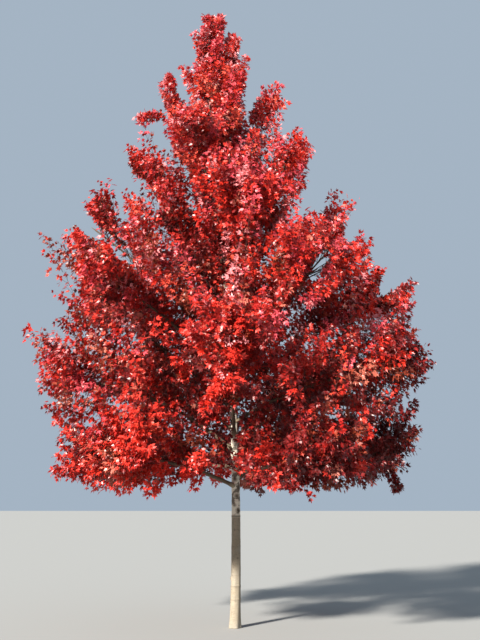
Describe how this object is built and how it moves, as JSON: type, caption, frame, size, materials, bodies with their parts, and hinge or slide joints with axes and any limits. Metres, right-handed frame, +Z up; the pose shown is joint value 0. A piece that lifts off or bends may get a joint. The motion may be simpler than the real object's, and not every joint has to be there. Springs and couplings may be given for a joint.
{
  "type": "red maple tree",
  "caption": "Young broad-conical maple tree in full red autumn leaf, with a slim pale trunk cut flat at ground level.",
  "frame": {"origin": "on the ground, at the middle of the flat cut under the trunk", "axes": "+Z up along the trunk; a viewer in front looks along +Y, with +X to the right"},
  "size_m": [4.7643, 4.9387, 7.9328],
  "materials": {
    "bark": "smooth pale bark",
    "leaf_scarlet": "matte autumn leaf",
    "leaf_crimson": "matte autumn leaf",
    "leaf_wine": "matte autumn leaf",
    "leaf_coral": "matte autumn leaf",
    "leaf_russet": "matte autumn leaf"
  },
  "bodies": {
    "root": {"trunk": "bark", "bough_skirt_1": "bark", "bough_skirt_2": "bark", "bough_skirt_3": "bark", "bough_skirt_4": "bark", "bough_skirt_5": "bark", "bough_lower_1": "bark", "bough_lower_2": "bark", "bough_lower_3": "bark", "bough_lower_4": "bark", "bough_lower_5": "bark", "bough_middle_1": "bark", "bough_middle_2": "bark", "bough_middle_3": "bark", "bough_middle_4": "bark", "bough_middle_5": "bark", "bough_upper_1": "bark", "bough_upper_2": "bark", "bough_upper_3": "bark", "bough_upper_4": "bark", "bough_shoulder_1": "bark", "bough_shoulder_2": "bark", "bough_shoulder_3": "bark", "bough_shoulder_4": "bark", "bough_crest_1": "bark", "bough_crest_2": "bark", "bough_crest_3": "bark", "bough_crest_4": "bark", "foliage_skirt_1": "leaf_scarlet", "foliage_skirt_2": "leaf_crimson", "foliage_skirt_3": "leaf_wine", "foliage_skirt_4": "leaf_coral", "foliage_skirt_5": "leaf_russet", "foliage_lower_1": "leaf_scarlet", "foliage_lower_2": "leaf_crimson", "foliage_lower_3": "leaf_wine", "foliage_lower_4": "leaf_coral", "foliage_lower_5": "leaf_russet", "foliage_middle_1": "leaf_scarlet", "foliage_middle_2": "leaf_crimson", "foliage_middle_3": "leaf_wine", "foliage_middle_4": "leaf_coral", "foliage_middle_5": "leaf_russet", "foliage_upper_1": "leaf_scarlet", "foliage_upper_2": "leaf_crimson", "foliage_upper_3": "leaf_wine", "foliage_upper_4": "leaf_coral", "foliage_shoulder_1": "leaf_russet", "foliage_shoulder_2": "leaf_scarlet", "foliage_shoulder_3": "leaf_crimson", "foliage_shoulder_4": "leaf_wine", "foliage_crest_1": "leaf_coral", "foliage_crest_2": "leaf_russet", "foliage_crest_3": "leaf_scarlet", "foliage_crest_4": "leaf_crimson", "foliage_spire_1": "leaf_wine", "foliage_spire_2": "leaf_coral", "foliage_spire_3": "leaf_russet", "foliage_leader": "leaf_scarlet"}
  },
  "joints": []
}
